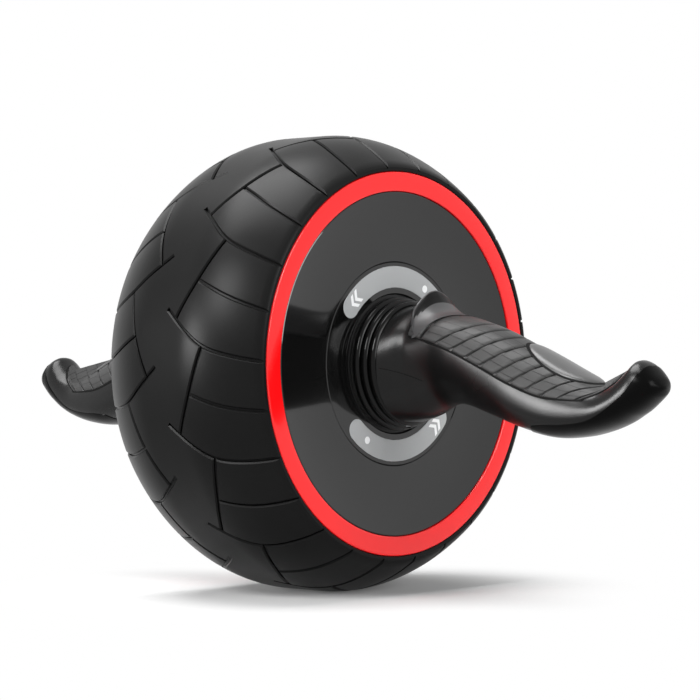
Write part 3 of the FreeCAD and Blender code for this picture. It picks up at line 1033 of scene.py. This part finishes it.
@dataclass
class Sole(HandleForm):
    """The glossy skin under the belly, which wraps the whole end of the tip.

    Where its edge turns further up than the closing turn, in radians, it closes over the top and has no rim.
    """

    edge_shares: tuple[Pair, ...] = (
        (0.480, -1.000), (0.540, -0.800), (0.610, -0.745), (0.690, -0.735), (0.775, -0.685), (0.835, -0.565),
        (0.872, -0.445), (0.905, -0.330), (0.930, -0.200), (0.950, -0.060), (0.965, 0.100), (1.0, 0.500),
    )
    start_share: float = 0.52
    front_share: float = 0.05
    proud: float = 0.25
    closing_turn: float = 3.0
    rows: int = 90
    columns: int = 40

    def build(self) -> None:
        """Shapes the skin."""
        span = 1.0 - self.start_share
        shares = [
            self.start_share + span * math.sin(QUARTER_TURN * n / self.rows) for n in range(self.rows + 1)
        ]

        def place(column: int, row: int) -> Vector:
            """Sets out the skin, sunk a little at its rim.

            Args:
                column: The step across.
                row: The row along.

            Returns:
                The point there.
            """
            share = shares[row]
            section = self.section(share)
            opening = math.sqrt(min(1.0, (share - self.start_share) / self.front_share))
            turn = section.turn_at(follow(self.edge_shares, share) * self.height) * opening
            rim = row == 0 or (column in (0, self.columns) and turn < self.closing_turn)
            flat = section.around(
                turn * (2.0 * column / self.columns - 1.0), -self.sunk if rim else self.proud,
            )
            return self.spot(self.along(share), flat)

        thing = new_object(self.named("handle_sole"), closed(shaped_grid(self.columns, self.rows, place)))
        dress(thing, self.palette["sole_black"], Body.HANDLES, Slot.HANDLE, [self.named("handle_underside")])


@dataclass(frozen=True)
class GripRow:
    """One row of the grip: its place at the lower edge, its lift off the shell and its rib count."""

    edge: float
    lift: float
    count: float


@dataclass
class Grip(HandleForm):
    """The ribbed rubber over the handle, with its ribs bowed towards the tip, and a dark strip of painted
    shade round its edge.

    A rib's shares are (half widths from its middle, share of its depth, rib count). The end's steps are
    (distance from the end, drop, rib count), the rim's are (share across, drop) and the line's strip is
    (distance outside the rim, lift). The arc length goes over the top from rim to rim.
    """

    edge_shares: tuple[Pair, ...] = (
        (0.080, 0.390), (0.120, 0.355), (0.165, 0.310), (0.245, 0.210), (0.365, 0.010), (0.490, -0.215),
        (0.610, -0.385), (0.710, -0.430), (0.790, -0.430), (0.850, -0.385), (0.893, -0.320),
    )
    start: float = 61.2
    end: float = 142.5
    bow: float = 14.5
    bow_rise: float = 14.0
    bow_power: float = 1.7
    wall: float = 1.8
    first_rib: float = 67.6
    rib_pitch: float = 7.3
    rib_count: int = 11
    rib_width: float = 0.9
    rib_depth: float = 0.8
    rib_shares: tuple[Triple, ...] = (
        (-1.7, 0.0, 0.93), (-1.0, 0.35, 0.96), (-0.5, 1.0, 0.98),
        (0.5, 1.0, 1.02), (1.0, 0.35, 1.04), (1.7, 0.0, 1.07),
    )
    block_shares: tuple[float, ...] = (0.25, 0.5, 0.75)
    end_steps: tuple[Triple, ...] = ((1.0, 0.0, 0.4), (0.35, 0.12, 0.5), (0.0, 0.5, 0.55))
    end_count: float = 0.6
    # share of the rib depth below which the rib floors are painted dark as shade
    painted_shade_share: float = 0.6
    rim: tuple[Pair, ...] = ((0.0, 0.35), (0.012, 0.10), (0.024, 0.0))
    rim_share: float = 0.04
    columns: int = 44
    cuts_across: float = 11.0
    crease: float = 40.0
    line_steps: int = 60
    line_strip: tuple[Pair, ...] = ((-0.2, -0.6), (0.1, 0.16), (0.8, 0.16), (1.1, -0.6))
    arc_length: float = 45.0

    def rows(self) -> list[GripRow]:
        """Sets out the grip's rows.

        Returns:
            The rows, from the guard to the end.
        """
        top = self.grip_proud
        rows = [GripRow(self.start, top, 0.0)]
        half = self.rib_width / 2
        for n in range(self.rib_count):
            middle = self.first_rib + n * self.rib_pitch
            before = rows[-1].edge
            block = middle - self.rib_width - before
            rows += [GripRow(before + block * share, top, n + share) for share in self.block_shares]
            rows += [
                GripRow(middle + half * away, top - self.rib_depth * sink, n + count)
                for away, sink, count in self.rib_shares
            ]
        rows += [GripRow(self.end - back, top - drop, self.rib_count + n) for back, drop, n in self.end_steps]
        return rows + [GripRow(self.end, -self.wall, self.rib_count + self.end_count)]

    def point(self, edge: float, share: float, lift: float) -> Vector:
        """A point on or beside the grip.

        Args:
            edge: Its place along the axle, read at the grip's lower edge.
            share: Its place over the top, from the near edge at 0 to the far edge at 1.
            lift: How far it stands off the shell.

        Returns:
            The point.
        """
        bow = self.bow * ramp(self.start, self.start + self.bow_rise, edge)
        along = edge + bow * (1.0 - min(1.0, abs(2.0 * share - 1.0)) ** self.bow_power)
        reach = self.reach(along)
        section = self.section(reach)
        low = section.turn_at(follow(self.edge_shares, reach) * self.height)
        return self.spot(along, section.around(low + (FULL_TURN - 2.0 * low) * share, lift))

    def rubber(self) -> None:
        """Shapes the ribbed rubber, with painted shade on its rib floors and a UV map for its cuts."""
        rows = self.rows()
        rim = [(0.0, self.wall + self.grip_proud), *self.rim]
        inside = 1.0 - 2.0 * self.rim_share
        across = [(self.rim_share + inside * n / self.columns, 0.0) for n in range(self.columns + 1)]
        across = rim + across + [(1.0 - share, drop) for share, drop in reversed(rim)]
        width = len(across)

        def place(column: int, row: int) -> Vector:
            """A point of the rubber's skin at a step across and a row along."""
            share, drop = across[column]
            return self.point(rows[row].edge, share, rows[row].lift - drop)

        mesh = shaped_grid(width - 1, len(rows) - 1, place)
        surface = mesh.loops.layers.uv.new("surface")
        mesh.verts.index_update()
        sunk = self.grip_proud - self.painted_shade_share * self.rib_depth
        low = {n for n, row in enumerate(rows) if row.lift < sunk}
        for face in mesh.faces:
            for loop in face.loops:
                row, column = divmod(loop.vert.index, width)
                loop[surface].uv = (across[column][0] * self.cuts_across, rows[row].count)
            lines = {vert.index // width for vert in face.verts}
            # painted shade: faces at the bottom of the ribs take the dark second finish
            face.material_index = 1 if lines <= low and max(lines) < len(rows) - 2 else 0
        thing = new_object(self.named("ribbed_grip"), closed(mesh))
        finishes = (self.palette["grip_grey"], self.palette["painted_groove_shade_and_seam_black"])
        dress(thing, finishes, Body.HANDLES, Slot.GRIP, [self.named("grip")], self.crease)

    def line(self) -> None:
        """Shapes a dark strip of painted shade round the grip's edge, where it meets the shell."""
        steps = self.line_steps
        length = self.end - self.start
        path = [(self.start + length * n / steps, 0.0) for n in range(steps)]
        path += [(self.end, n / steps) for n in range(steps + 1)]
        path += [(self.end - length * n / steps, 1.0) for n in range(1, steps + 1)]

        def place(column: int, row: int) -> Vector:
            """Sets out the line, outside the grip's rim.

            Args:
                column: The step across the line.
                row: The step along it.

            Returns:
                The point there.
            """
            edge, share = path[row]
            out, lift = self.line_strip[column]
            at_side = share in (0.0, 1.0)
            beyond = out if edge == self.end else 0.0
            sideways = out / self.arc_length * (2.0 * share - 1.0 if at_side else 0.0)
            return self.point(edge + beyond, share + sideways, lift)

        mesh = closed(shaped_grid(len(self.line_strip) - 1, len(path) - 1, place))
        thing = new_object(self.named("grip_edge_painted_shade"), mesh)
        # painted shade: a near-black strip laid where the grip's edge meets the shell
        dress(thing, self.palette["painted_groove_shade_and_seam_black"], Body.HANDLES, Slot.GRIP)

    def build(self) -> None:
        """The rubber and the painted shade line round it."""
        self.rubber()
        self.line()


@dataclass
class ThumbGuard(HandleForm):
    """The upright thumb guard at the grip's inner end, scooped down to the grip in front.

    The arch is a table of (share of the half width, height). The rim's rows are (share of the wall, drop).
    """

    arch: tuple[Pair, ...] = (
        (0.0, 29.3), (0.25, 28.6), (0.45, 27.2), (0.70, 24.6), (0.84, 22.6), (0.92, 20.6), (0.97, 17.0),
        (1.0, 12.0),
    )
    half_span: float = 14.5
    place_along: float = 60.2
    wall: float = 1.1
    rim_rows: tuple[Pair, ...] = (
        (-1.0, -9.0), (-0.9, -0.5), (-0.65, -0.1), (-0.4, 0.0), (-0.1, -0.15), (0.0, -0.4),
    )
    spread_power: float = 1.3
    scoop_edge: float = 3.5
    scoop_bow: float = 9.0
    scoop_power: float = 2.6
    bow_power: float = 1.7
    scoop_rows: int = 18
    foot_share: float = 0.42
    foot_lift: float = 0.05
    hollow_share: float = 0.30
    hollow_power: float = 3.0
    columns: int = 48

    def build(self) -> None:
        """Shapes the guard, with painted shade darkening the hollow at the top of its scoop."""
        rows = [*self.rim_rows, *((n / self.scoop_rows, 0.0) for n in range(1, self.scoop_rows + 1))]

        def place(column: int, row: int) -> Vector:
            """Sets out the guard, from its back over its rim and down the scoop.

            Args:
                column: The step across.
                row: The row from back to front.

            Returns:
                The point there.
            """
            step, drop = rows[row]
            side = 1.0 - 2.0 * column / self.columns
            spread = math.copysign(1.0 - (1.0 - abs(side)) ** self.spread_power, side)
            arch = (self.half_span * spread, follow(self.arch, abs(spread)) + drop)
            scoop = self.scoop_edge + self.scoop_bow * (1.0 - abs(side) ** self.bow_power)
            ahead = self.wall * step if step < 0.0 else scoop * step
            along = self.place_along + self.wall + ahead
            away = 1.0 if step <= 0.0 else (1.0 - step) ** self.scoop_power
            foot = self.section(self.reach(along)).upper(
                0.5 - self.foot_share * spread, self.grip_proud + self.foot_lift,
            )
            return self.spot(along, tuple(low + (high - low) * away for low, high in zip(foot, arch)))

        mesh = shaped_grid(self.columns, len(rows) - 1, place)
        mesh.verts.index_update()
        for face in mesh.faces:
            spots = [divmod(vert.index, self.columns + 1) for vert in face.verts]
            step = sum(rows[row][0] for row, _ in spots) / len(spots)
            side = abs(1.0 - 2.0 * sum(column for _, column in spots) / len(spots) / self.columns)
            brink = self.hollow_share * (1.0 - side ** self.hollow_power)
            # painted shade: faces in the hollow under the rim take the dark second finish
            face.material_index = 1 if 0.0 < step < brink else 0
        thing = new_object(self.named("thumb_guard"), closed(mesh))
        dress(thing, (self.palette["guard_grey"], self.palette["guard_hollow_painted_shade"]), Body.HANDLES, Slot.GRIP)


@dataclass
class NeckSeams(HandleForm):
    """The fine parting line on each side of the neck."""

    margin: float = 1.0
    run: float = 16.0
    first_height: float = -1.5
    fall: float = 5.0
    fall_power: float = 1.3
    half_line: float = 0.25
    proud: float = 0.05
    steps: int = 24
    columns: int = 3

    def seam(self, sign: float) -> Mesh:
        """Shapes one line.

        Args:
            sign: 1 for the front, -1 for the back.

        Returns:
            Its mesh.
        """

        def place(column: int, row: int) -> Vector:
            """Sets out the line, sunk at its rims.

            Args:
                column: The step across the line.
                row: The step along it.

            Returns:
                The point there.
            """
            share = row / self.steps
            along = self.root + self.margin + self.run * share
            section = self.section(self.reach(along))
            across = self.half_line * (2.0 * column / self.columns - 1.0)
            height = self.first_height - self.fall * share ** self.fall_power + across
            lift = -self.sunk if column in (0, self.columns) else self.proud
            x, z = section.around(section.turn_at(height), lift)
            return self.spot(along, (sign * x, z))

        return closed(shaped_grid(self.columns, self.steps, place))

    def build(self) -> None:
        """Both lines."""
        for sign, name in ((1.0, "front"), (-1.0, "back")):
            thing = new_object(self.named(f"{name}_neck_seam"), self.seam(sign))
            dress(thing, self.palette["painted_groove_shade_and_seam_black"], Body.HANDLES, Slot.HANDLE)


@dataclass
class Badge(HandleForm):
    """The raised bare oval near the grip's outer end, and a dark ring of painted groove shade round it.

    Rings are (share of the oval's size, height over the raised top).
    """

    centre: float = 127.0
    oval_length: float = 34.0
    oval_width: float = 18.0
    proud: float = 1.3
    rings: tuple[Pair, ...] = (
        (0.0, 0.0), (0.45, 0.0), (0.75, 0.0), (0.88, -0.05), (0.95, -0.22), (0.985, -0.5), (1.0, -1.9),
    )
    line_shares: tuple[float, ...] = (0.94, 0.96, 1.085, 1.10)
    line_lift: float = 0.06
    line_sunk: float = 1.0
    columns: int = 64

    def laid(self, column: int, size: float, lift: float) -> Vector:
        """A point of an oval that is laid on the handle's top.

        Args:
            column: The step round the oval.
            size: The oval's share of the full size.
            lift: How far it stands off the shell.

        Returns:
            The point.
        """
        angle = FULL_TURN * column / self.columns
        along = self.centre + self.oval_length / 2 * size * math.sin(angle)
        x = self.oval_width / 2 * size * math.cos(angle)
        section = self.section(self.reach(along))
        part = min(1.0, abs(x) / (section.width + lift)) ** section.fullness
        rise = section.crest - section.level + lift
        return self.spot(along, (x, section.level + rise * (1.0 - part) ** (1.0 / section.fullness)))

    def build(self) -> None:
        """Shapes the ring of painted groove shade and the oval."""
        edge = (0, len(self.line_shares) - 1)
        top = self.grip_proud + self.line_lift
        line = [(size, -self.line_sunk if n in edge else top) for n, size in enumerate(self.line_shares)]
        oval = [(size, self.proud + drop) for size, drop in self.rings]

        def ringed(rings: Sequence[Pair]) -> Mesh:
            """Lays a closed skin over rings.

            Args:
                rings: The rings as (size, lift).

            Returns:
                The skin's mesh.
            """

            def place(column: int, row: int) -> Vector:
                """A point at a step round a ring."""
                return self.laid(column, *rings[row])

            return closed(shaped_grid(self.columns, len(rings) - 1, place))

        thing = new_object(self.named("badge_painted_groove_shade"), ringed(line))
        # painted shade: the dark ring stands for the shade in the groove round the oval
        dress(thing, self.palette["painted_groove_shade_and_seam_black"], Body.HANDLES, Slot.GRIP)
        thing = new_object(self.named("bare_badge"), ringed(oval))
        dress(thing, self.palette["badge_grey"], Body.HANDLES, Slot.GRIP, [self.named("badge")])


@dataclass
class InnerWorks:
    """The pieces inside the wheel and hub, which keep their own meshes."""

    palette: Palette
    black: tuple[str, ...] = ("left_rim", "right_rim", "spring_drum", "drum_cover", "hub_core")
    zinc: tuple[str, ...] = (
        "rim_screws", "drum_screws", "handle_screws", "left_core_tube", "right_core_tube",
    )
    blued: tuple[str, ...] = ("power_spring",)
    bearing: tuple[str, ...] = ("left_bush", "right_bush", "left_thrust_washer", "right_thrust_washer")

    def build(self) -> None:
        """Dresses each inner node."""
        groups = (
            (self.black, "inner_black"), (self.zinc, "screw_zinc"), (self.blued, "spring_steel_blue"),
            (self.bearing, "bearing_dark"),
        )
        for names, finish in groups:
            for name in names:
                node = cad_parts[name]
                node.data.materials.clear()
                node.data.materials.append(self.palette[finish])
                log.info("%s: %s", name, finish)


def seen_rays(sketch: Sketch) -> Socket:
    """Marks the rays that show the white background.

    Args:
        sketch: The nodes of the floor or the surroundings.

    Returns:
        A value of 1 for rays from the camera, mirrors and glass, and 0 for the rest.
    """
    path = sketch.add("ShaderNodeLightPath").outputs
    two = sketch.joined("MAXIMUM", path["Is Camera Ray"], path["Is Glossy Ray"])
    return sketch.joined("MAXIMUM", two, path["Is Transmission Ray"])


@dataclass(frozen=True)
class Lamp:
    """A square soft lamp aimed at the wheel. Metres and watts."""

    name: str
    place: Triple
    size: float
    power: float

    def hang(self) -> None:
        """Makes the lamp and links it."""
        light = bpy.data.lights.new(self.name, "AREA")
        light.size = self.size
        light.energy = self.power
        lamp = bpy.data.objects.new(self.name, light)
        lamp.location = self.place
        lamp.rotation_euler = Vector(self.place).to_track_quat("Z", "Y").to_euler()
        bpy.context.scene.collection.objects.link(lamp)


@dataclass
class Studio:
    """The pale floor, the white surroundings and the soft lamps. Metres."""

    floor_height: float = -0.0935
    floor_size: float = 3.0
    floor_colour: Colour = grey(0.58)
    fade_start: float = 0.05
    fade_end: float = 0.14
    shadow_share: float = 0.92
    ambient: float = 0.28
    lamps: tuple[Lamp, ...] = (
        Lamp("key", (0.14, -0.20, 1.00), 0.70, 17.0),
        Lamp("side", (0.90, 0.02, 0.56), 0.34, 8.0),
        Lamp("edge", (0.95, -0.34, 0.16), 0.26, 8.0),
        Lamp("front", (-0.06, 0.95, 0.34), 0.50, 5.6),
    )

    def floor_finish(self) -> Material:
        """Makes a matt surface that keeps the shadow near the wheel and runs out to white.

        Returns:
            The floor's material.
        """
        material = bpy.data.materials.new("pale_floor")
        material.use_nodes = True
        sketch = Sketch(material.node_tree)
        flat = sketch.add("ShaderNodeVectorMath", {
            0: sketch.add("ShaderNodeTexCoord").outputs["Object"], 1: (1.0, 1.0, 0.0),
        }, operation="MULTIPLY").outputs[0]
        distance = sketch.add("ShaderNodeVectorMath", {0: flat}, operation="LENGTH").outputs["Value"]
        fade = sketch.add("ShaderNodeMapRange", {
            "Value": distance, "From Min": self.fade_start, "From Max": self.fade_end,
            "To Min": 1.0 - self.shadow_share, "To Max": 1.0,
        }, interpolation_type="SMOOTHSTEP").outputs[0]
        share = sketch.joined("MULTIPLY", fade, seen_rays(sketch))
        matt = sketch.add("ShaderNodeBsdfDiffuse", {"Color": (*self.floor_colour, 1.0)}).outputs[0]
        white = sketch.add("ShaderNodeEmission", {"Color": WHITE, "Strength": 1.0}).outputs[0]
        both = sketch.add("ShaderNodeMixShader", {0: share, 1: matt, 2: white}).outputs[0]
        sketch.add("ShaderNodeOutputMaterial", {"Surface": both})
        return material

    def floor(self) -> None:
        """The pale floor under the wheel."""
        mesh = bmesh.new()
        bmesh.ops.create_grid(mesh, x_segments=1, y_segments=1, size=self.floor_size)
        bmesh.ops.translate(mesh, vec=(0.0, 0.0, self.floor_height), verts=mesh.verts)
        floor = new_object("pale_floor", mesh, unit=1.0)
        floor.data.materials.append(self.floor_finish())

    def surroundings(self) -> None:
        """White where they are seen, and a plain level where they light."""
        world = bpy.data.worlds.new("white_room")
        world.use_nodes = True
        bpy.context.scene.world = world
        sketch = Sketch(world.node_tree)
        strength = sketch.add("ShaderNodeMapRange", {
            "Value": seen_rays(sketch), "To Min": self.ambient, "To Max": 1.0,
        }).outputs[0]
        white = sketch.add("ShaderNodeBackground", {"Color": WHITE, "Strength": strength}).outputs[0]
        sketch.add("ShaderNodeOutputWorld", {"Surface": white})

    def build(self) -> None:
        """Floor, surroundings and lamps."""
        self.floor()
        self.surroundings()
        for lamp in self.lamps:
            lamp.hang()


@dataclass
class Viewpoint:
    """The photograph's camera. Metres and degrees."""

    place: Triple = (0.789509, 0.742234, 0.009875)
    heading: float = 132.6671
    rise: float = 0.2318
    roll: float = -0.1514
    image_width: float = 700.0
    focal_pixels: float = 2618.417
    sensor: float = 36.0

    def build(self) -> None:
        """Puts the camera where the photograph was taken from."""
        heading, rise, roll = (math.radians(angle) for angle in (self.heading, self.rise, self.roll))
        back = Vector((
            math.sin(heading) * math.cos(rise), -math.cos(heading) * math.cos(rise), math.sin(rise),
        ))
        level = Vector((math.cos(heading), math.sin(heading), 0.0))
        upright = back.cross(level)
        right = level * math.cos(roll) + upright * math.sin(roll)
        up = upright * math.cos(roll) - level * math.sin(roll)
        data = bpy.data.cameras.new("photograph")
        data.sensor_width = self.sensor
        data.lens = self.focal_pixels * self.sensor / self.image_width
        camera = bpy.data.objects.new("photograph", data)
        turn = Matrix((right, up, back)).transposed().to_4x4()
        camera.matrix_world = Matrix.Translation(Vector(self.place)) @ turn
        bpy.context.scene.collection.objects.link(camera)
        bpy.context.scene.camera = camera


def main() -> None:
    """Builds the roller, its studio and its camera in order."""
    logging.basicConfig(level=logging.INFO, format="%(message)s")
    palette = Palette()
    Viewpoint().build()
    Studio().build()
    Tyre(palette).build()
    for side in Side:
        for group in (WheelSide, Collar, Shell, Sole, Grip, ThumbGuard, NeckSeams, Badge):
            group(side, palette).build()
    InnerWorks(palette).build()
    bpy.context.scene.view_settings.view_transform = "Standard"


if __name__ == "__main__":
    main()
